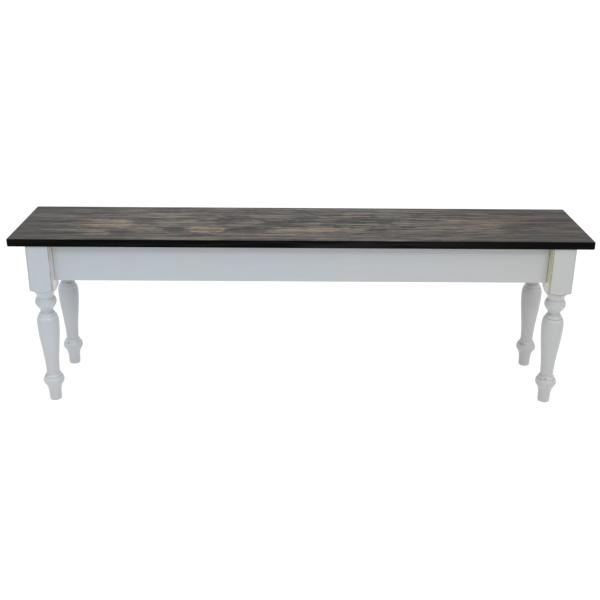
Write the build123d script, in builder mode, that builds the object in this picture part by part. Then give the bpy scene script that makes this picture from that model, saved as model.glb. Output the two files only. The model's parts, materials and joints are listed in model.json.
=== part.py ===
"""Farmhouse bench: a single plank seat on four turned legs that bolt to corner blocks.

Millimetres, +Z up. The origin is on the floor under the middle of the seat, +X runs along the
length to the right and -Y is the front.
"""
import os
from math import sqrt

from build123d import *

os.makedirs("parts", exist_ok=True)

# Seat board
seat_length = 1524.0
seat_width = 308.0
seat_thickness = 20.5
seat_height = 480.0
seat_corner_radius = 4.0
seat_arris_radius = 2.0

# Where the legs stand under the seat
end_overhang = 44.0
side_overhang = 6.0

# Square block at the top of each leg
leg_block = 63.0
block_arris_radius = 3.0
block_reveal = 21.0
block_arch_easing = 1.2
bolt_flat = 20.0

# Leg turning from the floor up to the ankle
foot_radius = 16.9
foot_taper = 0.7
foot_easing = 2.5
foot_height = 26.5
flare_height = 21.5
flare_hollow = 0.9
bead_low_radius = 22.8
bead_low_height = 11.2
bead_skim = 3.2
bead_high_radius = 24.3
bead_high_height = 13.1
bead_quirk = 1.2
ankle_ring_radius = 21.6
ankle_ring_height = 10.0
ankle_radius = 17.7
ankle_fillet = 1.5

# Leg turning from the block down to the belly of the vase
collar_radius = 22.4
block_cove_radius = 26.0
ball_height = 36.3
ball_upper_height = 16.4
ball_flank_radius = 24.9
ball_flank_height = 11.0
ball_skim = 3.2
neck_radius = 16.9
neck_height = 8.0
neck_fillet = 1.4
shoulder_ring_radius = 22.1
shoulder_ring_height = 9.5
shoulder_radius = 24.6
shoulder_height = 18.7
shoulder_quirk = 1.2
belly_skim = 2.1

# Aprons
apron_height = 104.0
apron_thickness = 19.0
apron_setback = 25.0
apron_arris_radius = 2.0

# Corner blocks
corner_block_thickness = 24.0
corner_block_margin = 11.0
draw_gap = 6.0

# Hanger bolts, washers and nuts
bolt_radius = 4.0
bolt_in_leg = 44.0
bolt_tip = 8.0
bolt_end_chamfer = 0.8
bolt_tail = 5.0
bolt_spacing = 46.0
bolt_hole_clearance = 0.5
washer_radius = 8.0
washer_thickness = 1.6
washer_clearance = 0.2
nut_across_flats = 13.0
nut_height = 6.5
nut_chamfer = 0.6

# Countersunk wood screws in the corner blocks and the cleat
screw_radius = 2.1
screw_head_radius = 4.1
screw_tip = 5.0
block_screw_length = 28.0
block_screw_bite = 14.0
block_screw_spacing = 44.0
cleat_screw_length = 30.0
cleat_screw_spacing = 70.0
cleat_screw_count = 3

# Cross drive in every screw head
drive_length = 4.2
drive_width = 1.0
drive_depth = 1.3

# Cross cleat under the middle of the seat
cleat_width = 64.0
cleat_thickness = 19.0
cleat_housing = 8.0
cleat_clearance = 0.2

# Z clips that hold the seat down, and the saw kerf that they hook into
clip_count = 4
clip_width = 19.0
clip_thickness = 2.0
clip_tongue = 8.0
clip_standoff = 5.0
clip_pad = 20.0
clip_bend_radius = 2.6
clip_hole_clearance = 0.4
kerf_drop = 11.0
kerf_height = 3.0
kerf_depth = 9.5
clip_screw_length = 14.0
clip_screw_head_radius = 4.0
clip_screw_head_height = 2.6
clip_screw_head_rim = 0.8

# Clearance of a screw or bolt in the wood or nut that it is driven into
thread_clearance = 0.05
drill_run_out = 0.5

# Heights and stations that follow from the sizes above
leg_length = seat_height - seat_thickness
leg_x = seat_length / 2 - end_overhang - leg_block / 2
leg_y = seat_width / 2 - side_overhang - leg_block / 2
apron_bottom = leg_length - apron_height
apron_middle = leg_length - apron_height / 2
apron_outer_x = leg_x + leg_block / 2 - apron_setback
apron_outer_y = leg_y + leg_block / 2 - apron_setback
apron_inner_x = apron_outer_x - apron_thickness
apron_inner_y = apron_outer_y - apron_thickness
apron_reach = apron_setback + apron_thickness - leg_block / 2
long_apron_length = 2 * leg_x - leg_block
end_apron_length = 2 * leg_y - leg_block

# Distances along the diagonal from a leg's axis to the bolted faces
flat_distance = leg_block / sqrt(2) - bolt_flat / 2
block_outer = flat_distance + draw_gap
block_inner = block_outer + corner_block_thickness
washer_outer = block_inner + washer_thickness
nut_outer = washer_outer + nut_height

# Station of the corner block screws along each apron, from the leg's axis, and their heads' depth
block_screw_station = (block_outer + block_inner) / sqrt(2) - apron_reach
block_screw_head = apron_reach + block_screw_length - block_screw_bite

screw_head_height = screw_head_radius - screw_radius
block_screw_heights = [apron_middle - block_screw_spacing / 2, apron_middle + block_screw_spacing / 2]
bolt_heights = [apron_middle - bolt_spacing / 2, apron_middle + bolt_spacing / 2]

corners = {
    "front_left": (-1, -1),
    "front_right": (1, -1),
    "back_left": (-1, 1),
    "back_right": (1, 1),
}
long_sides = {"front": -1, "back": 1}
end_sides = {"left": -1, "right": 1}

# Even stations of the clips along a long apron, between the corner blocks
clear_run = 2 * (leg_x - block_inner * sqrt(2) + apron_reach)
clip_pitch = clear_run / clip_count
clip_stations = [(index - (clip_count - 1) / 2) * clip_pitch for index in range(clip_count)]
clip_screw_y = apron_inner_y - clip_standoff - clip_thickness - clip_pad / 2
cleat_screw_stations = [
    (index - (cleat_screw_count - 1) / 2) * cleat_screw_spacing for index in range(cleat_screw_count)
]
clip_screw_depth = clip_screw_length - clip_thickness
cleat_screw_depth = cleat_screw_length - cleat_thickness


def save(builder, name):
    """Label a finished piece and write it to its own file."""
    builder.part.label = name
    export_step(builder.part, "parts/" + name + ".step")


def corner_point(side_x, side_y, inward_x, inward_y):
    """Plan point measured inwards from the axis of the leg on that corner."""
    return (side_x * (leg_x - inward_x), side_y * (leg_y - inward_y))


def inward_diagonal(side_x, side_y):
    """Direction from a leg's axis towards the middle of the bench."""
    return Vector(-side_x, -side_y, 0).normalized()


def turning_plane(origin, direction):
    """Sketch plane through an axis: x is the radius and y runs along the axis."""
    along = Vector(*direction).normalized()
    across = Vector(0, 0, 1) if abs(along.Z) < 0.5 else Vector(1, 0, 0)
    return Plane(origin=origin, x_dir=across, z_dir=across.cross(along))


def cut_drive(origin, direction):
    """Cut the cross recess into a screw head whose top is at the origin."""
    with BuildSketch(Plane(origin=origin, z_dir=direction)) as cross:
        Rectangle(drive_length, drive_width)
        Rectangle(drive_width, drive_length)
    extrude(cross.sketch, amount=drive_depth, mode=Mode.SUBTRACT)


def countersunk_screw(origin, direction, length):
    """Add a wood screw with its flat head at the origin, driven in the direction."""
    with BuildSketch(turning_plane(origin, direction)) as outline:
        with BuildLine():
            Polyline(
                (0, 0),
                (screw_head_radius, 0),
                (screw_radius, screw_head_height),
                (screw_radius, length - screw_tip),
                (0, length),
                close=True,
            )
        make_face()
    revolve(outline.sketch, axis=Axis(origin, direction))
    cut_drive(origin, direction)


# Seat board, with pilot holes for the clip and cleat screws in its underside
with BuildPart() as seat:
    with BuildSketch(Plane.XY.offset(leg_length)):
        RectangleRounded(seat_length, seat_width, seat_corner_radius)
    extrude(amount=seat_thickness)
    fillet(seat.faces().sort_by(Axis.Z)[-1].edges(), radius=seat_arris_radius)
    fillet(seat.faces().sort_by(Axis.Z)[0].edges(), radius=seat_arris_radius)
    underside = Plane(origin=(0, 0, leg_length), x_dir=(1, 0, 0), z_dir=(0, 0, -1))
    clip_holes = [
        underside * Location((station, side * clip_screw_y, 0))
        for side in long_sides.values()
        for station in clip_stations
    ]
    with Locations(clip_holes):
        Hole(radius=screw_radius + thread_clearance, depth=clip_screw_depth + drill_run_out)
    with Locations([underside * Location((0, station, 0)) for station in cleat_screw_stations]):
        Hole(radius=screw_radius + thread_clearance, depth=cleat_screw_depth + drill_run_out)
save(seat, "seat_board")

# Long aprons: the saw kerf is part of the section, the cleat housing is cut into the top
for side_name, side in long_sides.items():
    outer = side * apron_outer_y
    inner = side * apron_inner_y
    kerf_end = inner + side * kerf_depth
    kerf_top = leg_length - kerf_drop
    with BuildPart() as long_apron:
        with BuildSketch(Plane.YZ.offset(-long_apron_length / 2)) as section:
            with BuildLine():
                Polyline(
                    (outer, apron_bottom),
                    (outer, leg_length),
                    (inner, leg_length),
                    (inner, kerf_top),
                    (kerf_end, kerf_top),
                    (kerf_end, kerf_top - kerf_height),
                    (inner, kerf_top - kerf_height),
                    (inner, apron_bottom),
                    close=True,
                )
            make_face()
            fillet(section.vertices().group_by(Axis.Y)[0], radius=apron_arris_radius)
        extrude(amount=long_apron_length)
        end_arrises = long_apron.edges().filter_by(Axis.Z).group_by(Axis.Y)[0 if side < 0 else -1]
        fillet(end_arrises, radius=apron_arris_radius)
        with BuildSketch(Plane.XY.offset(leg_length)):
            with Locations((0, inner)):
                Rectangle(cleat_width + 2 * cleat_clearance, 2 * cleat_housing)
        extrude(amount=-cleat_thickness, mode=Mode.SUBTRACT)
        screw_holes = [
            Plane(
                origin=(end * (leg_x - block_screw_station), inner, height),
                z_dir=(0, -side, 0),
            )
            for end in end_sides.values()
            for height in block_screw_heights
        ]
        with Locations(screw_holes):
            Hole(radius=screw_radius + thread_clearance, depth=block_screw_bite + drill_run_out)
    save(long_apron, side_name + "_apron")

# End aprons
for end_name, end in end_sides.items():
    outer = end * apron_outer_x
    inner = end * apron_inner_x
    with BuildPart() as end_apron:
        with BuildSketch(Plane.XZ.offset(-end_apron_length / 2)) as section:
            with BuildLine():
                Polyline(
                    (outer, apron_bottom),
                    (outer, leg_length),
                    (inner, leg_length),
                    (inner, apron_bottom),
                    close=True,
                )
            make_face()
            fillet(section.vertices().group_by(Axis.Y)[0], radius=apron_arris_radius)
        extrude(amount=end_apron_length)
        end_arrises = end_apron.edges().filter_by(Axis.Z).group_by(Axis.X)[0 if end < 0 else -1]
        fillet(end_arrises, radius=apron_arris_radius)
        screw_holes = [
            Plane(
                origin=(inner, side * (leg_y - block_screw_station), height),
                z_dir=(-end, 0, 0),
            )
            for side in long_sides.values()
            for height in block_screw_heights
        ]
        with Locations(screw_holes):
            Hole(radius=screw_radius + thread_clearance, depth=block_screw_bite + drill_run_out)
    save(end_apron, end_name + "_apron")

# Heights of the turned features, from the floor up and from the block down
bead_bottom = foot_height + flare_height
bead_middle = bead_bottom + bead_low_height
bead_top = bead_middle + bead_high_height
ankle_ring_top = bead_top + ankle_ring_height
block_bottom = apron_bottom - block_reveal
ball_top = block_bottom - block_cove_radius
ball_middle = ball_top - ball_upper_height
neck_top = ball_top - ball_height
neck_bottom = neck_top - neck_height
shoulder_top = neck_bottom - shoulder_ring_height
belly_height = shoulder_top - shoulder_height
bead_radius = leg_block / 2 - bead_skim
belly_radius = leg_block / 2 - belly_skim
ball_radius = leg_block / 2 - ball_skim
blank_radius = collar_radius + block_cove_radius + leg_block / 2
arch_rise = block_cove_radius / 2

# Legs: a square blank turned below its block, with a flat for the bolts on the inner corner
for corner, (side_x, side_y) in corners.items():
    axis_x, axis_y = corner_point(side_x, side_y, 0, 0)
    inward = inward_diagonal(side_x, side_y)
    with BuildPart() as leg:
        with BuildSketch(Plane(origin=(axis_x, axis_y, 0), x_dir=(1, 0, 0), z_dir=(0, -1, 0))):
            with BuildLine():
                Line((0, 0), (foot_radius - foot_taper - foot_easing, 0))
                TangentArc(
                    (foot_radius - foot_taper - foot_easing, 0),
                    (foot_radius - foot_taper, foot_easing),
                    tangent=(1, 0),
                )
                Line((foot_radius - foot_taper, foot_easing), (foot_radius, foot_height))
                ThreePointArc(
                    (foot_radius, foot_height),
                    ((foot_radius + bead_low_radius) / 2 - flare_hollow, foot_height + flare_height / 2),
                    (bead_low_radius, bead_bottom),
                )
                ThreePointArc(
                    (bead_low_radius, bead_bottom),
                    (bead_radius, bead_middle),
                    (bead_high_radius, bead_top),
                )
                Line((bead_high_radius, bead_top), (bead_high_radius - bead_quirk, bead_top))
                ThreePointArc(
                    (bead_high_radius - bead_quirk, bead_top),
                    (ankle_ring_radius, bead_top + ankle_ring_height / 2),
                    (ankle_radius + ankle_fillet / 2, ankle_ring_top),
                )
                Line(
                    (ankle_radius + ankle_fillet / 2, ankle_ring_top),
                    (ankle_radius, ankle_ring_top + ankle_fillet),
                )
                Spline(
                    (ankle_radius, ankle_ring_top + ankle_fillet),
                    (belly_radius, belly_height),
                    tangents=((0, 1), (0, 1)),
                )
                TangentArc((belly_radius, belly_height), (shoulder_radius, shoulder_top), tangent=(0, 1))
                Line((shoulder_radius, shoulder_top), (shoulder_radius - shoulder_quirk, shoulder_top))
                ThreePointArc(
                    (shoulder_radius - shoulder_quirk, shoulder_top),
                    (shoulder_ring_radius, shoulder_top + shoulder_ring_height / 2),
                    (neck_radius + neck_fillet, neck_bottom),
                )
                Line((neck_radius + neck_fillet, neck_bottom), (neck_radius, neck_bottom + neck_fillet))
                Line((neck_radius, neck_bottom + neck_fillet), (neck_radius, neck_top))
                flank = Line((neck_radius, neck_top), (ball_flank_radius, neck_top + ball_flank_height))
                crown = TangentArc(flank @ 1, (ball_radius, ball_middle), tangent=flank % 1)
                TangentArc(crown @ 1, (collar_radius, ball_top), tangent=crown % 1)
                TangentArc(
                    (collar_radius, ball_top),
                    (collar_radius + block_cove_radius, block_bottom),
                    tangent=(0, 1),
                )
                Polyline(
                    (collar_radius + block_cove_radius, block_bottom),
                    (blank_radius, block_bottom),
                    (blank_radius, leg_length),
                    (0, leg_length),
                    (0, 0),
                )
            make_face()
        revolve(axis=Axis((axis_x, axis_y, 0), (0, 0, 1)))
        with BuildSketch(Plane(origin=(axis_x, axis_y, 0))):
            RectangleRounded(leg_block, leg_block, block_arris_radius)
        extrude(amount=leg_length, mode=Mode.INTERSECT)
        arch_edges = leg.edges().filter_by_position(Axis.Z, ball_top + arch_rise, block_bottom)
        fillet(arch_edges, radius=block_arch_easing)
        flat_centre = Vector(axis_x, axis_y, apron_bottom) + inward * flat_distance
        with BuildSketch(Plane(origin=flat_centre, x_dir=inward, z_dir=(0, 0, 1))):
            Rectangle(bolt_flat, leg_block, align=(Align.MIN, Align.CENTER))
        extrude(amount=apron_height, mode=Mode.SUBTRACT)
        bolt_holes = [
            Plane(origin=Vector(axis_x, axis_y, height) + inward * flat_distance, z_dir=inward)
            for height in bolt_heights
        ]
        with Locations(bolt_holes):
            Hole(radius=bolt_radius + thread_clearance, depth=bolt_in_leg + drill_run_out)
    save(leg, corner + "_leg")

# Corner blocks: mitred across the inside corner and screwed to both aprons
for corner, (side_x, side_y) in corners.items():
    axis_x, axis_y = corner_point(side_x, side_y, 0, 0)
    inward = inward_diagonal(side_x, side_y)
    near = block_outer * sqrt(2) - apron_reach
    far = block_inner * sqrt(2) - apron_reach
    with BuildPart() as corner_block:
        with BuildSketch(Plane.XY.offset(apron_bottom + corner_block_margin)):
            with BuildLine():
                Polyline(
                    corner_point(side_x, side_y, apron_reach, near),
                    corner_point(side_x, side_y, apron_reach, far),
                    corner_point(side_x, side_y, far, apron_reach),
                    corner_point(side_x, side_y, near, apron_reach),
                    close=True,
                )
            make_face()
        extrude(amount=apron_height - 2 * corner_block_margin)
        bolt_holes = [
            Plane(origin=Vector(axis_x, axis_y, height) + inward * block_inner, z_dir=inward)
            for height in bolt_heights
        ]
        with Locations(bolt_holes):
            Hole(radius=bolt_radius + bolt_hole_clearance)
        screw_seats = []
        for height in block_screw_heights:
            to_long = corner_point(side_x, side_y, block_screw_station, block_screw_head)
            to_end = corner_point(side_x, side_y, block_screw_head, block_screw_station)
            screw_seats.append(Plane(origin=(*to_long, height), z_dir=(0, -side_y, 0)))
            screw_seats.append(Plane(origin=(*to_end, height), z_dir=(-side_x, 0, 0)))
        with Locations(screw_seats):
            CounterSinkHole(
                radius=screw_radius + thread_clearance,
                counter_sink_radius=screw_head_radius + thread_clearance,
                depth=block_screw_length,
                counter_sink_angle=90,
            )
    save(corner_block, corner + "_corner_block")

# Corner block screws
for corner, (side_x, side_y) in corners.items():
    with BuildPart() as block_screws:
        for height in block_screw_heights:
            to_long = corner_point(side_x, side_y, block_screw_station, block_screw_head)
            to_end = corner_point(side_x, side_y, block_screw_head, block_screw_station)
            countersunk_screw((*to_long, height), (0, side_y, 0), block_screw_length)
            countersunk_screw((*to_end, height), (side_x, 0, 0), block_screw_length)
    save(block_screws, corner + "_block_screws")

# Hanger bolts, washers and nuts on every corner
for corner, (side_x, side_y) in corners.items():
    axis_x, axis_y = corner_point(side_x, side_y, 0, 0)
    inward = inward_diagonal(side_x, side_y)
    bolt_start = flat_distance - bolt_in_leg
    bolt_end = nut_outer + bolt_tail
    with BuildPart() as bolts:
        for height in bolt_heights:
            with BuildSketch(turning_plane((axis_x, axis_y, height), inward)):
                with BuildLine():
                    Polyline(
                        (0, bolt_start),
                        (bolt_radius, bolt_start + bolt_tip),
                        (bolt_radius, bolt_end - bolt_end_chamfer),
                        (bolt_radius - bolt_end_chamfer, bolt_end),
                        (0, bolt_end),
                        close=True,
                    )
                make_face()
            revolve(axis=Axis((axis_x, axis_y, height), inward))
    save(bolts, corner + "_hanger_bolts")

    with BuildPart() as washers:
        for height in bolt_heights:
            washer_seat = Vector(axis_x, axis_y, height) + inward * block_inner
            with BuildSketch(Plane(origin=washer_seat, z_dir=inward)):
                Circle(washer_radius)
                Circle(bolt_radius + washer_clearance, mode=Mode.SUBTRACT)
            extrude(amount=washer_thickness)
    save(washers, corner + "_washers")

    with BuildPart() as nuts:
        for height in bolt_heights:
            nut_seat = Vector(axis_x, axis_y, height) + inward * washer_outer
            with BuildSketch(Plane(origin=nut_seat, z_dir=inward)):
                RegularPolygon(nut_across_flats / 2, side_count=6, major_radius=False)
                Circle(bolt_radius + thread_clearance, mode=Mode.SUBTRACT)
            extrude(amount=nut_height)
        end_faces = nuts.faces().filter_by(Axis((0, 0, 0), inward))
        chamfer(end_faces.edges().filter_by(GeomType.LINE), length=nut_chamfer)
    save(nuts, corner + "_nuts")

# Cross cleat, laid flat against the seat and housed in both long aprons
cleat_length = 2 * (apron_inner_y + cleat_housing - cleat_clearance)
cleat_bottom = leg_length - cleat_thickness
with BuildPart() as cleat:
    with BuildSketch(Plane.XY.offset(cleat_bottom)):
        Rectangle(cleat_width, cleat_length)
    extrude(amount=cleat_thickness)
    cleat_underside = Plane(origin=(0, 0, cleat_bottom), x_dir=(1, 0, 0), z_dir=(0, 0, -1))
    with Locations([cleat_underside * Location((0, station, 0)) for station in cleat_screw_stations]):
        CounterSinkHole(
            radius=screw_radius + thread_clearance,
            counter_sink_radius=screw_head_radius + thread_clearance,
            depth=cleat_screw_length,
            counter_sink_angle=90,
        )
save(cleat, "cross_cleat")

with BuildPart() as cleat_screws:
    for station in cleat_screw_stations:
        countersunk_screw((0, station, cleat_bottom), (0, 0, 1), cleat_screw_length)
save(cleat_screws, "cleat_screws")

# Z clips and their pan head screws, one node each, numbered from the left
for side_name, side in long_sides.items():
    for number, station in enumerate(clip_stations, start=1):
        kerf_top = leg_length - kerf_drop
        web_inner = clip_standoff + clip_thickness
        pad_end = web_inner + clip_pad
        clip_plane = Plane(
            origin=(station, side * apron_inner_y, 0),
            x_dir=(0, -side, 0),
            z_dir=(-side, 0, 0),
        )
        with BuildPart() as clip:
            with BuildSketch(clip_plane):
                with BuildLine():
                    FilletPolyline(
                        (-clip_tongue, kerf_top),
                        (clip_standoff, kerf_top),
                        (clip_standoff, leg_length),
                        (pad_end, leg_length),
                        radius=clip_bend_radius,
                    )
                    FilletPolyline(
                        (-clip_tongue, kerf_top - clip_thickness),
                        (web_inner, kerf_top - clip_thickness),
                        (web_inner, leg_length - clip_thickness),
                        (pad_end, leg_length - clip_thickness),
                        radius=clip_bend_radius,
                    )
                    Line((-clip_tongue, kerf_top), (-clip_tongue, kerf_top - clip_thickness))
                    Line((pad_end, leg_length), (pad_end, leg_length - clip_thickness))
                make_face()
            extrude(amount=clip_width / 2, both=True)
            with Locations(Plane(origin=(station, side * clip_screw_y, leg_length), z_dir=(0, 0, -1))):
                Hole(radius=screw_radius + clip_hole_clearance, depth=kerf_drop)
        save(clip, side_name + "_clip_" + str(number))

        head_bottom = leg_length - clip_thickness - clip_screw_head_height
        with BuildPart() as clip_screw:
            head_seat = (station, side * clip_screw_y, leg_length - clip_thickness)
            with BuildSketch(turning_plane(head_seat, (0, 0, 1))):
                with BuildLine():
                    Line((0, clip_screw_length), (0, -clip_screw_head_height))
                    TangentArc(
                        (0, -clip_screw_head_height),
                        (clip_screw_head_radius, -clip_screw_head_rim),
                        tangent=(1, 0),
                    )
                    Polyline(
                        (clip_screw_head_radius, -clip_screw_head_rim),
                        (clip_screw_head_radius, 0),
                        (screw_radius, 0),
                        (screw_radius, clip_screw_length - screw_tip),
                        (0, clip_screw_length),
                    )
                make_face()
            revolve(axis=Axis((station, side * clip_screw_y, 0), (0, 0, 1)))
            cut_drive((station, side * clip_screw_y, head_bottom), (0, 0, 1))
        save(clip_screw, side_name + "_clip_screw_" + str(number))
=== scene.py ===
"""Looks of the farmhouse bench: stained plank seat, distressed white paint, bare wood and zinc underneath.

Metres, in the bench's own frame: the origin is on the floor under the middle of the seat, +X runs along
the length and -Y is the front.
"""

import json
import math

import bmesh
import bpy
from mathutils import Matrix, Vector


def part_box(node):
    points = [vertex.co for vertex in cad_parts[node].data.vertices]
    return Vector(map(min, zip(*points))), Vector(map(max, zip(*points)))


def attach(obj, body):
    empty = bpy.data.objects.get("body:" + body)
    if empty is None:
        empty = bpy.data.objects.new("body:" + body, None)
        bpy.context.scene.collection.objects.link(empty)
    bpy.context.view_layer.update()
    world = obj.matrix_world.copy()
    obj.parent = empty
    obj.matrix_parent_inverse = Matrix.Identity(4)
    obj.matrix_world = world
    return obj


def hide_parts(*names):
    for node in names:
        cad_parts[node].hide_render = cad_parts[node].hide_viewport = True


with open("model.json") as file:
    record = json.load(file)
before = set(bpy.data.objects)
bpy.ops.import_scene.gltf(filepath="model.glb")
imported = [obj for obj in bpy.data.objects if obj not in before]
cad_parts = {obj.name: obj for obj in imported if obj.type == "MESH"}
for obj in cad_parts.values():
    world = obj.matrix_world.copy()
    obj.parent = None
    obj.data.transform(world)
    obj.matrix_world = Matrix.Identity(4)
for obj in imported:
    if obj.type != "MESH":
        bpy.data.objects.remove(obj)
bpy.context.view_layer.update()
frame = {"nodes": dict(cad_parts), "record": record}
nodes = frame["nodes"]

# Sizes that the looks share with the solids
leg_x, leg_y = 0.6865, 0.1165
half_block = 0.0315
block_arris = 0.003
block_bottom = 0.3345
collar_radius = 0.0224
cove_radius = 0.026
apron_bottom = 0.3555
thread_pitch = 0.00125
seat_low, seat_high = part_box("seat_board")

# Rounding of the seat's arrises and plan corners, and the steps that it is drawn in
seat_arris = 0.002
seat_corner = 0.004
arris_steps = 5
corner_steps = 6
quarter_turn = math.radians(90)

# Blocks of the legs: how far the worn lines wander, and the change of height or depth in which wear fades
rub_width = 0.0026
fade_width = 0.01

# Turning: heights between which the scuffs of the ankle and of the shoulder come in and go out
ankle_zone = (0.066, 0.072, 0.084, 0.092)
shoulder_zone = (0.250, 0.256, 0.268, 0.278)

# Turning: height, half width and share of the painted shade in its hollows
hollows = ((0.0723, 0.0012, 0.5), (0.2547, 0.0014, 1.0), (0.2682, 0.0055, 1.0), (0.3085, 0.0010, 1.0))

# Turning: height and half width of the crowns that carry a painted highlight
crowns = ((0.0710, 0.0130), (0.0780, 0.0040), (0.2540, 0.0120))

# Paint: depth of its brush marks and wear, share of the brush marks in it, and shine
paint_relief = 0.00025
brush_share = 0.35
paint_shine = 0.5

# Rings of the plank: tightening towards the edges, how many cross the middle in a metre, and their wavering
ring_bow = 120.0
rings_along = 6.0
ring_waver = 3.6

# How far the grain sways to and fro across the plank
sway_width = 0.04

# Mean lightness of the grain, from 0 for the darkest stain to 1 for the lightest
mean_tone = 0.33

# Thin light lines in the grain: how many to a metre along and across, and where their noise starts
grain_lines = (
    (1.6, 24, (0, 0, 0)),
    (2.2, 36, (3, 7, 0)),
    (3.2, 54, (1, 4, 0)),
)

# Rows of light dashes in the grain: rows to a metre across, and dashes to a metre along
dash_rows = ((64, 5.0), (97, 7.0))

# Tan patches on the seat: left end, right end, middle and half width across, strength, olive at right end
tan_patches = (
    (-0.615, -0.460, -0.005, 0.045, 0.7, 1.0),
    (-0.590, -0.505, -0.090, 0.030, 0.4, 0.8),
    (-0.470, -0.370, -0.070, 0.030, 0.3, 0.3),
    (-0.325, -0.205, -0.060, 0.035, 1.3, 0.2),
    (-0.105, 0.105, -0.055, 0.022, 1.3, 0.2),
    (0.090, 0.185, -0.050, 0.015, 0.9, 0.4),
    (0.350, 0.560, 0.000, 0.045, 0.3, 0.1),
    (0.310, 0.550, -0.055, 0.013, 0.3, 0.8),
)

# Dark islands of soft early wood on the seat: left end, right end, middle and half width across
dark_islands = (
    (-0.690, -0.645, -0.100, 0.020),
    (-0.515, -0.455, -0.090, 0.025),
    (-0.470, -0.395, 0.000, 0.020),
    (-0.370, -0.305, -0.065, 0.025),
    (-0.190, -0.100, -0.065, 0.025),
    (-0.100, -0.035, 0.005, 0.020),
    (-0.015, 0.020, 0.115, 0.020),
    (0.205, 0.255, 0.010, 0.025),
)

# Floor: size, whiteness for the light it bounces, its own glow far off and in the pool before the bench
floor_size = 40
floor_white = 0.9
floor_glow = 0.10
pool_glow = 0.32

# Pool on the floor: its middle, squeeze of its length, and the radii between which it fades
pool_x, pool_y = -0.5, -0.60
pool_squeeze = 0.6
pool_inner, pool_outer = 0.3, 1.2

# Floor as the background shows it: glow, and the whiteness that takes the shadow
shown_glow = 0.82
shown_white = 0.4

# Studio: light of the walls and of the ceiling, and the rises of the view between which they meet
wall_light = 0.26
ceiling_light = 0.68
wall_rise, ceiling_rise = 0.1, 0.6

# Soft lamps: name, place, width, power and colour; a high key and a low one far off to the right, and
# nearer a cooler one on the left and one on the right, which put a sheen on the turnings
lamps = (
    ("key_lamp", (3.4, -6.6, 6.0), 4.0, 58.0, (1.01, 1.0, 0.98)),
    ("low_lamp", (2.6, -6.2, 0.9), 5.0, 23.0, (1.01, 1.0, 0.98)),
    ("fill_lamp", (-1.8, -2.8, 2.6), 0.8, 9.0, (0.9, 1.0, 1.1)),
    ("right_lamp", (1.8, -2.8, 2.6), 0.8, 7.0, (1.0, 1.0, 1.0)),
)
lamp_target = Vector((0, 0, 0.2))

# Camera at the angle of the photograph: millimetres, metres and degrees
sensor_width = 36
lens_length = 53.66
camera_place = (-0.020, -2.352, 1.200)
camera_turn = (68.08, -0.43, -0.27)


def linear(red, green, blue):
    """A colour from its 8-bit screen values."""
    def channel(value):
        value = value / 255
        return value / 12.92 if value <= 0.04045 else ((value + 0.055) / 1.055) ** 2.4

    return (channel(red), channel(green), channel(blue), 1.0)


def grey(level):
    """A grey of the given linear level."""
    return (level, level, level, 1)


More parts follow.
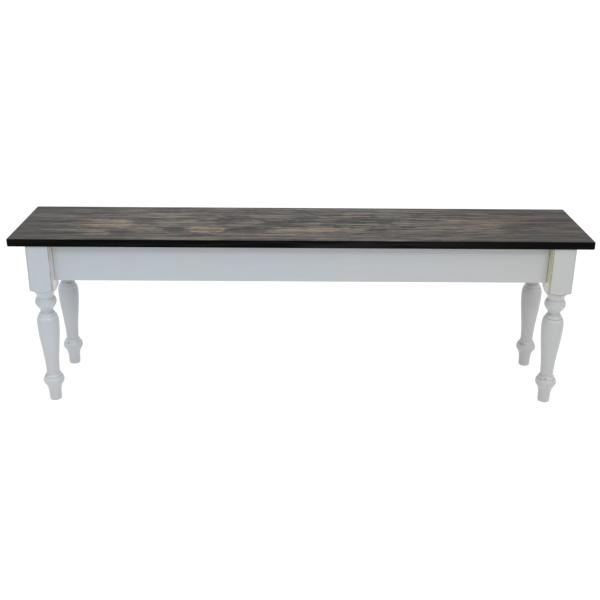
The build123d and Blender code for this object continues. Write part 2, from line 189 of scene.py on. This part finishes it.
class Graph:
    """Short names for the nodes of one material."""

    def __init__(self, name):
        self.material = bpy.data.materials.new(name)
        self.material.use_nodes = True
        self.tree = self.material.node_tree
        self.shader = self.tree.nodes["Principled BSDF"]

    def put(self, value, socket):
        if isinstance(value, bpy.types.NodeSocket):
            self.tree.links.new(value, socket)
        else:
            socket.default_value = value

    def set(self, **values):
        for name, value in values.items():
            self.put(value, self.shader.inputs[name.replace("_", " ")])

    def place(self):
        return self.tree.nodes.new("ShaderNodeTexCoord").outputs["Object"]

    def normal(self):
        return self.tree.nodes.new("ShaderNodeNewGeometry").outputs["Normal"]

    def split(self, vector):
        node = self.tree.nodes.new("ShaderNodeSeparateXYZ")
        self.put(vector, node.inputs[0])
        return node.outputs

    def join(self, x, y, z):
        node = self.tree.nodes.new("ShaderNodeCombineXYZ")
        for value, socket in zip((x, y, z), node.inputs):
            self.put(value, socket)
        return node.outputs[0]

    def math(self, operation, *values):
        node = self.tree.nodes.new("ShaderNodeMath")
        node.operation = operation
        for value, socket in zip(values, node.inputs):
            self.put(value, socket)
        return node.outputs[0]

    def total(self, first, *others):
        """The values added up."""
        for other in others:
            first = self.math("ADD", first, other)
        return first

    def product(self, first, *others):
        """The values multiplied."""
        for other in others:
            first = self.math("MULTIPLY", first, other)
        return first

    def size(self, value):
        """The value without its sign."""
        return self.math("ABSOLUTE", value)

    def apart(self, value, centre):
        """How far the value is from a centre, either way."""
        return self.size(self.math("SUBTRACT", value, centre))

    def length(self, x, y):
        """Length of the plan vector with these two parts."""
        return self.math("SQRT", self.total(self.product(x, x), self.product(y, y)))

    def step(self, value, start, end, low=0.0, high=1.0):
        """Smooth step from low to high while the value goes from start to end."""
        node = self.tree.nodes.new("ShaderNodeMapRange")
        node.interpolation_type = "SMOOTHSTEP"
        for item, socket in zip((value, start, end, low, high), node.inputs):
            self.put(item, socket)
        return node.outputs[0]

    def band(self, value, start, full, fade, end):
        """1 while the value lies between full and fade, and 0 before start and after end."""
        return self.product(self.step(value, start, full), self.step(value, end, fade))

    def swing(self, noise, width):
        """Noise turned into a swing to both sides of 0."""
        return self.math("MULTIPLY_ADD", noise, width, -width / 2)

    def noise(self, vector, stretch, detail=2.0, roughness=0.5, shift=(0, 0, 0)):
        """Noise from 0 to 1; stretch is the number of features per metre along each axis."""
        mapping = self.tree.nodes.new("ShaderNodeMapping")
        self.put(vector, mapping.inputs["Vector"])
        mapping.inputs["Scale"].default_value = stretch
        mapping.inputs["Location"].default_value = shift
        node = self.tree.nodes.new("ShaderNodeTexNoise")
        node.inputs["Scale"].default_value = 1.0
        node.inputs["Detail"].default_value = detail
        node.inputs["Roughness"].default_value = roughness
        self.put(mapping.outputs[0], node.inputs["Vector"])
        return node.outputs["Fac"]

    def blend(self, factor, first, second):
        node = self.tree.nodes.new("ShaderNodeMix")
        node.data_type = "RGBA"
        self.put(factor, node.inputs["Factor"])
        self.put(first, node.inputs[6])
        self.put(second, node.inputs[7])
        return node.outputs[2]

    def bump(self, height, distance, strength=1.0):
        node = self.tree.nodes.new("ShaderNodeBump")
        node.inputs["Distance"].default_value = distance
        node.inputs["Strength"].default_value = strength
        self.put(height, node.inputs["Height"])
        return node.outputs[0]


def paint_coat(graph, place, strokes):
    """Brushed white paint with a painted tint of the light, cool on the left and higher up and neutral on the
    right: colour, and bump height of the strokes.
    """
    brush = graph.noise(place, strokes, detail=3.0, roughness=0.6)
    cloud = graph.noise(place, (7, 7, 7))
    x, _, z = graph.split(place)
    # Painted tint of the light: cool on the left, a little cooler higher up, and neutral on the right
    cool_light_tint = graph.blend(graph.step(z, 0.05, 0.33), linear(201, 205, 209), linear(198, 206, 213))
    coat = graph.blend(graph.step(x, -0.35, 0.75), cool_light_tint, linear(202, 203, 203))
    coat = graph.blend(graph.step(brush, 0.3, 0.75, 0.0, 0.12), coat, linear(222, 223, 223))
    coat = graph.blend(graph.step(cloud, 0.45, 0.8, 0.0, 0.25), coat, linear(203, 202, 198))
    return coat, brush


def set_paint(graph, colour, brush, worn, roughness):
    """Finish of painted wood, with the brush marks raised and the worn places sunk."""
    height = graph.math("SUBTRACT", graph.product(brush, brush_share), worn)
    graph.set(Base_Color=colour, Normal=graph.bump(height, paint_relief), Roughness=roughness)
    graph.set(Specular_IOR_Level=paint_shine)


def leg_paint(name):
    """Paint on a turned leg: rubbed through at the arrises, painted light on the sides, painted highlights on
    the crowns, painted shade in the hollows, scuffs.
    """
    graph = Graph(name)
    place = graph.place()
    x, y, z = graph.split(place)
    coat, brush = paint_coat(graph, place, (70, 70, 16))
    right = graph.step(x, -0.3, 0.3)

    def by_side(on_left, on_right):
        return graph.step(right, 0.0, 1.0, on_left, on_right)

    # Plan distances from the axis of whichever leg this is
    outward = graph.math("SUBTRACT", graph.size(x), leg_x)
    forward = graph.math("SUBTRACT", graph.size(y), leg_y)
    from_x = graph.size(outward)
    from_y = graph.size(forward)
    corner = graph.total(from_x, from_y)
    face = graph.math("MAXIMUM", from_x, from_y)
    radius = graph.length(from_x, from_y)

    # Worn lines where each upright arris of the block begins to round, on both sides of it
    ragged = graph.noise(place, (90, 90, 22), detail=4.0, roughness=0.65)
    rub = graph.swing(ragged, rub_width)
    rubbed = graph.total(corner, rub)
    on_block = graph.step(z, block_bottom - 0.006, block_bottom - 0.002)
    flank = 2 * half_block - block_arris
    arris = graph.product(
        graph.step(rubbed, flank - 0.0022, flank - 0.0012),
        graph.step(rubbed, flank + 0.0009, flank + 0.0003, 0.35, 1.0),
        on_block,
        graph.step(outward, 0.0, fade_width, 1.0, by_side(0.65, 0.25)),
    )

    # A worn line along the arched edge where the turning runs into the block
    reach = graph.math("SUBTRACT", collar_radius + cove_radius, radius)
    rise = graph.math("SUBTRACT", cove_radius ** 2, graph.product(reach, reach))
    arch = graph.total(graph.math("SQRT", graph.math("MAXIMUM", rise, 0.0)), block_bottom - cove_radius)
    above = graph.total(graph.math("SUBTRACT", z, arch), rub)
    edge = graph.product(
        graph.step(face, half_block - 0.0014, half_block - 0.0006),
        graph.step(above, 0.0024, 0.0014),
        graph.step(z, block_bottom - 0.012, block_bottom - 0.010),
        by_side(0.5, 0.75),
    )
    patches = graph.noise(place, (30, 30, 18), detail=1.0, shift=(3, 1, 2))
    patchy = graph.step(patches, 0.36, 0.60, 0.5, 1.0)
    worn = graph.product(graph.math("MAXIMUM", arris, edge), patchy, by_side(0.85, 1.0))
    wood = graph.blend(right, linear(140, 120, 96), linear(142, 138, 92))
    wood = graph.blend(graph.step(ragged, 0.35, 0.7, 0.0, 0.5), wood, linear(176, 168, 140))

    # The sides that face along the bench carry painted light against their shade, yellowed on the right, as
    # far back as the apron and less below it
    side = graph.product(
        graph.step(outward, 0.001 - half_block, -half_block, 0.0, 0.9),
        on_block,
        graph.step(forward, -0.004, 0.010),
        graph.step(z, apron_bottom - fade_width, apron_bottom + fade_width, 0.5, 1.0),
    )
    lit_and_yellowed = graph.blend(right, linear(232, 228, 222), linear(222, 219, 186))
    colour = graph.blend(worn, graph.blend(side, coat, lit_and_yellowed), wood)

    # Painted highlight on the crowns of the turning, less of it on the right
    crown_highlight = 0.0
    for height, width in crowns:
        crown_highlight = graph.math("MAXIMUM", crown_highlight, graph.step(graph.apart(z, height), width, 0.0))
    crown_highlight = graph.product(crown_highlight, by_side(0.85, 0.5))
    highlight_colour = graph.blend(right, linear(222, 227, 231), linear(223, 224, 222))
    colour = graph.blend(crown_highlight, colour, highlight_colour)

    # Painted shade in the hollows of the turning, more of it on the right
    crease_shade = 0.0
    for height, width, share in hollows:
        shaded_hollow = graph.step(graph.apart(z, height), width, width * 0.3, 0.0, share)
        crease_shade = graph.math("MAXIMUM", crease_shade, shaded_hollow)
    shade_patches = graph.noise(place, (45, 45, 20), shift=(5, 0, 1))
    crease_shade = graph.product(crease_shade, graph.step(shade_patches, 0.36, 0.62, 0.4, 1.0), by_side(0.26, 0.40))
    colour = graph.blend(crease_shade, colour, linear(112, 110, 104))

    # Small scuffs, most of them on the left of the ankle ring and bead
    sideways = graph.math("SUBTRACT", x, by_side(-leg_x, leg_x))
    ankle = graph.product(graph.band(z, *ankle_zone), graph.step(sideways, 0.002, -0.012, 0.85, 1.5))
    shoulder = graph.product(graph.band(z, *shoulder_zone), 0.5)
    zone = graph.math("MULTIPLY_ADD", graph.math("MAXIMUM", ankle, shoulder), 0.13, -0.13)
    spots = graph.noise(place, (150, 150, 230), roughness=0.55)
    scuff = graph.step(graph.total(spots, zone), 0.655, 0.70)
    colour = graph.blend(graph.product(scuff, 0.8), colour, linear(104, 100, 92))

    set_paint(graph, colour, brush, graph.math("MAXIMUM", worn, scuff), roughness=0.28)
    return graph.material


def apron_paint(name):
    """Paint on an apron: brushed lengthwise, dirty at the joints with the legs, thin on the lower arris."""
    graph = Graph(name)
    place = graph.place()
    x, y, z = graph.split(place)
    coat, brush = paint_coat(graph, place, (9, 9, 120))
    ragged = graph.noise(place, (60, 60, 60), detail=4.0, roughness=0.65)

    # Dirt and bare wood on the ends, against the legs, most of it on the right
    end_x = graph.apart(graph.size(x), leg_x - half_block)
    end_y = graph.apart(graph.size(y), leg_y - half_block)
    dirt_width = graph.product(ragged, 0.0010)
    joint = graph.step(graph.math("SUBTRACT", dirt_width, graph.math("MINIMUM", end_x, end_y)), -0.0010, 0.0)
    dirt = graph.product(joint, graph.step(x, -0.4, 0.4, 0.05, 0.75))
    colour = graph.blend(dirt, coat, linear(112, 106, 86))

    # A broken thin line on the lower arris
    low = graph.step(z, apron_bottom + 0.0012, apron_bottom + 0.0004)
    breaks = graph.noise(place, (16, 16, 16), detail=3.0, shift=(1, 4, 0))
    line = graph.product(low, graph.step(breaks, 0.56, 0.64), 0.6)
    colour = graph.blend(line, colour, linear(160, 146, 112))

    set_paint(graph, colour, brush, graph.math("MAXIMUM", joint, line), roughness=0.42)
    return graph.material


def dark_stain(name):
    """Ebony stained plank: a flat-sawn log's rings, with hard rings rubbed back to tan in the middle."""
    graph = Graph(name)
    place = graph.place()
    x, y, z = graph.split(place)
    from_middle = graph.size(x)
    facing = graph.split(graph.normal())[2]

    # The grain sways sideways along the plank
    sway = graph.noise(place, (2.0, 5.0, 5.0), detail=1.5)
    across = graph.total(y, graph.swing(sway, sway_width))
    swayed = graph.join(x, across, z)

    # Rings: parabolas whose tips point to the right, hard and light at the end of each year's growth
    bowed = graph.product(across, across, ring_bow)
    along = graph.product(x, rings_along)
    uneven = graph.product(graph.noise(swayed, (2.6, 20, 20), detail=2.5), ring_waver)
    year = graph.math("FRACT", graph.total(bowed, along, uneven))
    late = graph.band(year, 0.66, 0.88, 0.97, 1.0)

    # Thin light lines that wander along the grain and come and go
    lines = 0.0
    for per_length, per_width, shift in grain_lines:
        drift = graph.noise(swayed, (per_length, per_width, per_width), detail=1.0, shift=shift)
        lasting = graph.noise(swayed, (per_length * 3, per_width, per_width), detail=1.0, shift=(5, 2, 1))
        ridge = graph.product(graph.step(graph.apart(drift, 0.5), 0.046, 0.022),
                              graph.step(lasting, 0.44, 0.58))
        lines = graph.math("MAXIMUM", lines, ridge)

    # Crisp dashes of light grain between darker sides, in rows that follow the sway
    dashes = 0.0
    for rows, per_length in dash_rows:
        row = graph.product(across, rows)
        off_centre = graph.apart(graph.math("FRACT", row), 0.5)
        numbered = graph.join(x, graph.math("FLOOR", row), 0.0)
        chance = graph.noise(numbered, (per_length, 7.3, 1.0), detail=1.0)
        dash = graph.product(graph.step(chance, 0.54, 0.57), graph.step(off_centre, 0.36, 0.22, -0.28, 0.58))
        dashes = graph.total(dashes, dash)

    # Streaks and fibres along the grain
    broad = graph.noise(swayed, (3.5, 50, 50))
    streak = graph.noise(swayed, (2.8, 88, 88), roughness=0.6, shift=(0.4, 0.1, 0))
    fleck = graph.noise(swayed, (42, 85, 85), roughness=0.6, shift=(2, 3, 1))
    fine = graph.noise(swayed, (24, 520, 520), roughness=0.6)
    fibre = graph.noise(swayed, (60, 2200, 2200), detail=1.0)

    # Lightness of the grain, calmer towards the long edges and fading towards the ends
    tone = graph.total(
        graph.product(late, 0.22),
        dashes,
        graph.product(lines, 0.46),
        graph.step(broad, 0.42, 0.60, -0.07, 0.07),
        graph.step(streak, 0.48, 0.55, -0.14, 0.24),
        graph.step(fleck, 0.40, 0.60, -0.13, 0.11),
        graph.step(fine, 0.25, 0.78, -0.05, 0.09),
        graph.math("MULTIPLY_ADD", fibre, 0.12, -0.05),
    )
    straight = graph.step(graph.size(y), 0.05, 0.13, 1.0, 0.6)
    tone = graph.math("MULTIPLY_ADD", graph.math("SUBTRACT", tone, mean_tone), straight, mean_tone)
    tone = graph.product(
        tone,
        graph.step(from_middle, 0.34, 0.76, 1.0, 0.36),
        graph.step(x, 0.25, 0.60, 1.0, 0.85),
    )

    # Islands of early wood, flat and dark, with ragged ends
    ruffle = graph.noise(swayed, (12, 75, 75), detail=3.0, roughness=0.6)
    ragged = graph.math("MULTIPLY_ADD", ruffle, 2.4, graph.math("MULTIPLY_ADD", fleck, 1.6, -2.0))
    calm = 0.0
    for left, right, centre, half in dark_islands:
        length = graph.math("DIVIDE", graph.math("SUBTRACT", x, (left + right) / 2), (right - left) / 2)
        width = graph.math("DIVIDE", graph.math("SUBTRACT", y, centre), half)
        slanted = graph.size(graph.math("MULTIPLY_ADD", width, 0.5, length))
        outside = graph.math("MAXIMUM", slanted, graph.size(width))
        calm = graph.math("MAXIMUM", calm, graph.step(graph.total(outside, ragged), 1.15, 0.75))
    tone = graph.product(tone, graph.step(calm, 0.0, 1.0, 1.0, 0.35))

    # Stain in the grain, browner towards the right
    hue = graph.noise(swayed, (3, 22, 22), detail=1.0, shift=(2, 5, 0))
    light = graph.blend(graph.step(hue, 0.40, 0.60), linear(136, 129, 115), linear(136, 124, 116))
    light = graph.blend(graph.step(x, 0.2, 0.6, 0.0, 0.9), light, linear(134, 116, 100))
    deep = graph.blend(graph.step(x, 0.1, 0.6), linear(26, 25, 23), linear(23, 18, 13))
    colour = graph.blend(tone, deep, light)

    # Hard rings where the stain is rubbed thin, each rosy on its left and olive on its right
    rubbed = 0.0
    olive = 0.0
    for left, right, centre, half, strength, tip in tan_patches:
        length = graph.math("DIVIDE", graph.math("SUBTRACT", x, left), right - left)
        width = graph.math("DIVIDE", graph.math("SUBTRACT", y, centre), half)
        width = graph.total(width, graph.swing(ruffle, 1.4))
        rounded = graph.math("MULTIPLY_ADD", graph.product(width, width), 0.22, length)
        inside = graph.product(
            graph.step(length, 0.0, 0.4),
            graph.step(rounded, 1.03, 0.98),
            graph.step(graph.size(width), 0.9, 0.7),
        )
        rubbed = graph.math("MAXIMUM", rubbed, graph.product(inside, strength))
        olive = graph.math("MAXIMUM", olive, graph.product(inside, graph.step(length, 0.4, 0.9, 0.0, tip)))
    ticks = graph.noise(swayed, (60, 120, 120), shift=(4, 1, 6))
    rubbed = graph.product(
        rubbed,
        graph.step(tone, 0.02, 0.42, 0.25, 1.0),
        graph.step(ticks, 0.60, 0.66, 1.0, 0.5),
    )
    warm = graph.blend(olive, linear(160, 138, 119), linear(153, 145, 120))
    colour = graph.blend(rubbed, colour, warm)

    # The edges, the border of the top and the underside soaked up more stain
    in_x = graph.math("SUBTRACT", seat_high[0], from_middle)
    in_y = graph.math("SUBTRACT", seat_high[1], graph.size(y))
    border = graph.math("MULTIPLY_ADD", ruffle, 0.003, graph.math("MINIMUM", in_x, in_y))
    top = graph.product(graph.step(facing, 0.86, 0.97), graph.step(border, 0.002, 0.007, 0.4, 1.0))
    edge_light = graph.blend(graph.step(from_middle, 0.2, 0.6), linear(28, 26, 29), linear(12, 10, 8))
    edge_colour = graph.blend(graph.step(streak, 0.38, 0.62), linear(1, 1, 1), edge_light)
    colour = graph.blend(top, edge_colour, colour)

    rough = graph.step(broad, 0.3, 0.7, 0.52, 0.42)
    relief = graph.total(graph.product(late, 0.5), graph.product(fine, 0.5))
    graph.set(Base_Color=colour, Roughness=rough, Normal=graph.bump(relief, 0.0002, 0.6))
    graph.set(Specular_IOR_Level=graph.step(top, 0.0, 1.0, 0.05, 0.2))
    return graph.material


def bare_wood(name):
    """Planed pine that nobody painted, with its rings lying flat."""
    graph = Graph(name)
    place = graph.place()
    z = graph.split(place)[2]
    sway = graph.noise(place, (9, 9, 9), detail=1.5)
    year = graph.math("FRACT", graph.total(graph.product(z, 150), graph.product(sway, 4.0)))
    late = graph.band(year, 0.35, 0.92, 0.95, 1.0)
    fibre = graph.noise(place, (60, 60, 900))
    colour = graph.blend(late, linear(206, 172, 126), linear(170, 122, 74))
    colour = graph.blend(graph.step(fibre, 0.35, 0.75, 0.0, 0.3), colour, linear(186, 148, 100))
    graph.set(Base_Color=colour, Roughness=0.7, Normal=graph.bump(fibre, 0.0001))
    graph.set(Specular_IOR_Level=0.3)
    return graph.material


def zinc(name, threaded=False):
    """Zinc plated steel; threaded bolts lie on the plan diagonals, so |x| + |y| runs along them."""
    graph = Graph(name)
    place = graph.place()
    cloud = graph.noise(place, (240, 240, 240))
    colour = graph.blend(cloud, linear(158, 160, 163), linear(184, 185, 184))
    graph.set(Base_Color=colour, Metallic=1.0, Roughness=graph.step(cloud, 0.3, 0.7, 0.30, 0.42))
    if threaded:
        x, y = graph.split(place)[:2]
        run = graph.total(graph.size(x), graph.size(y))
        turns = graph.product(run, 1 / (math.sqrt(2) * thread_pitch))
        ridge = graph.math("PINGPONG", turns, 0.5)
        graph.set(Normal=graph.bump(ridge, 0.001))
    return graph.material


# Finishes of the material slots, and those of the pieces whose names have these endings
finishes = {
    "dark_stained_wood": dark_stain("dark_stain"),
    "bare_wood": bare_wood("bare_wood"),
    "zinc_steel": zinc("zinc"),
}
own_finishes = {
    "_leg": leg_paint("leg_paint"),
    "_apron": apron_paint("apron_paint"),
    "_hanger_bolts": zinc("zinc_thread", threaded=True),
}
for entry in frame["record"]["subparts"]:
    name = entry["node"]
    finish = None
    for ending, own_finish in own_finishes.items():
        if name.endswith(ending):
            finish = own_finish
    if finish is None:
        finish = finishes[entry["material_slot"]]
    nodes[name].data.materials.clear()
    nodes[name].data.materials.append(finish)


def seat_slab():
    """Seat board with finely rounded arrises and plan corners."""
    half_x, half_y = seat_high[0], seat_high[1]
    turns = [quarter_turn * step / arris_steps for step in range(arris_steps + 1)]
    levels = []
    for angle in turns:
        levels.append((seat_arris * (1 - math.sin(angle)), seat_low[2] + seat_arris * (1 - math.cos(angle))))
    for angle in turns:
        levels.append((seat_arris * (1 - math.cos(angle)), seat_high[2] - seat_arris * (1 - math.sin(angle))))
    mesh = bmesh.new()
    rings = []
    for inset, height in levels:
        out = seat_corner - inset
        ring = []
        for corner, (side_x, side_y) in enumerate(((1, 1), (-1, 1), (-1, -1), (1, -1))):
            for step in range(corner_steps + 1):
                angle = quarter_turn * (corner + step / corner_steps)
                ring.append(mesh.verts.new((
                    side_x * (half_x - seat_corner) + out * math.cos(angle),
                    side_y * (half_y - seat_corner) + out * math.sin(angle),
                    height,
                )))
        rings.append(ring)
    for lower, upper in zip(rings, rings[1:]):
        for index, vertex in enumerate(lower):
            after = (index + 1) % len(lower)
            side = mesh.faces.new((vertex, lower[after], upper[after], upper[index]))
            side.smooth = True
    mesh.faces.new(list(reversed(rings[0])))
    mesh.faces.new(rings[-1])
    data = bpy.data.meshes.new("seat_slab")
    mesh.to_mesh(data)
    mesh.free()
    slab = bpy.data.objects.new("seat_slab", data)
    bpy.context.scene.collection.objects.link(slab)
    return slab


slab = seat_slab()
slab.data.materials.append(finishes["dark_stained_wood"])
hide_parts("seat_board")
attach(slab, "root")


def background_rays(tree):
    """1 for the rays that show the white background: those of the camera, of reflections and of glass."""
    path = tree.nodes.new("ShaderNodeLightPath")
    seen = path.outputs["Is Camera Ray"]
    for kind in ("Is Glossy Ray", "Is Transmission Ray"):
        either = tree.nodes.new("ShaderNodeMath")
        either.operation = "MAXIMUM"
        tree.links.new(seen, either.inputs[0])
        tree.links.new(path.outputs[kind], either.inputs[1])
        seen = either.outputs[0]
    return seen


def background_mix(tree, lighting, shown, output):
    """Lets one shader light the bench and the other show as the background."""
    mix = tree.nodes.new("ShaderNodeMixShader")
    for value, socket in zip((background_rays(tree), lighting, shown), mix.inputs):
        tree.links.new(value, socket)
    tree.links.new(mix.outputs[0], tree.nodes[output].inputs["Surface"])


# Floor: bounces light as a bright white sweep does, and shows white with only a faint shadow
bpy.ops.mesh.primitive_plane_add(size=floor_size, location=(0, 0, 0))
floor = bpy.context.object
floor.name = "floor"
floor_graph = Graph("floor_white")
floor_x, floor_y = floor_graph.split(floor_graph.place())[:2]
aside = floor_graph.product(floor_graph.math("SUBTRACT", floor_x, pool_x), pool_squeeze)
ahead = floor_graph.math("SUBTRACT", floor_y, pool_y)
glow = floor_graph.step(floor_graph.length(aside, ahead), pool_inner, pool_outer, pool_glow, floor_glow)
floor_graph.set(Base_Color=grey(floor_white), Roughness=1.0, Specular_IOR_Level=0.0)
floor_graph.set(Emission_Color=grey(1), Emission_Strength=glow)
shown_floor = floor_graph.tree.nodes.new("ShaderNodeBsdfDiffuse")
shown_floor.inputs["Color"].default_value = grey(shown_white)
shown_light = floor_graph.tree.nodes.new("ShaderNodeEmission")
shown_light.inputs["Strength"].default_value = shown_glow
shown_sum = floor_graph.tree.nodes.new("ShaderNodeAddShader")
floor_graph.put(shown_floor.outputs[0], shown_sum.inputs[0])
floor_graph.put(shown_light.outputs[0], shown_sum.inputs[1])
background_mix(floor_graph.tree, floor_graph.shader.outputs[0], shown_sum.outputs[0], "Material Output")
floor.data.materials.append(floor_graph.material)

# World: white studio walls under a brighter ceiling; plain white behind the bench
world = bpy.data.worlds.new("studio")
world.use_nodes = True
world_nodes = world.node_tree.nodes
world_links = world.node_tree.links
studio = world_nodes["Background"]
studio.inputs["Color"].default_value = grey(1)
direction = world_nodes.new("ShaderNodeTexCoord")
upward = world_nodes.new("ShaderNodeSeparateXYZ")
world_links.new(direction.outputs["Generated"], upward.inputs[0])
climb = world_nodes.new("ShaderNodeMapRange")
climb.interpolation_type = "SMOOTHSTEP"
for value, socket in zip((wall_rise, ceiling_rise, wall_light, ceiling_light), climb.inputs[1:5]):
    socket.default_value = value
world_links.new(upward.outputs["Z"], climb.inputs["Value"])
world_links.new(climb.outputs[0], studio.inputs["Strength"])
backdrop = world_nodes.new("ShaderNodeBackground")
backdrop.inputs["Color"].default_value = grey(1)
background_mix(world.node_tree, studio.outputs[0], backdrop.outputs[0], "World Output")
bpy.context.scene.world = world

# Lamps
for name, place, width, power, colour in lamps:
    lamp_data = bpy.data.lights.new(name, "AREA")
    lamp_data.shape = "RECTANGLE"
    lamp_data.size = width
    lamp_data.size_y = width / 2
    lamp_data.energy = power
    lamp_data.color = colour
    lamp = bpy.data.objects.new(name, lamp_data)
    lamp.location = place
    lamp.rotation_euler = (lamp_target - lamp.location).to_track_quat("-Z", "Y").to_euler()
    bpy.context.scene.collection.objects.link(lamp)

# Camera
camera_data = bpy.data.cameras.new("camera")
camera_data.sensor_width = sensor_width
camera_data.lens = lens_length
camera = bpy.data.objects.new("camera", camera_data)
camera.location = camera_place
camera.rotation_euler = [math.radians(angle) for angle in camera_turn]
bpy.context.scene.collection.objects.link(camera)
bpy.context.scene.camera = camera

bpy.context.scene.view_settings.view_transform = "Standard"
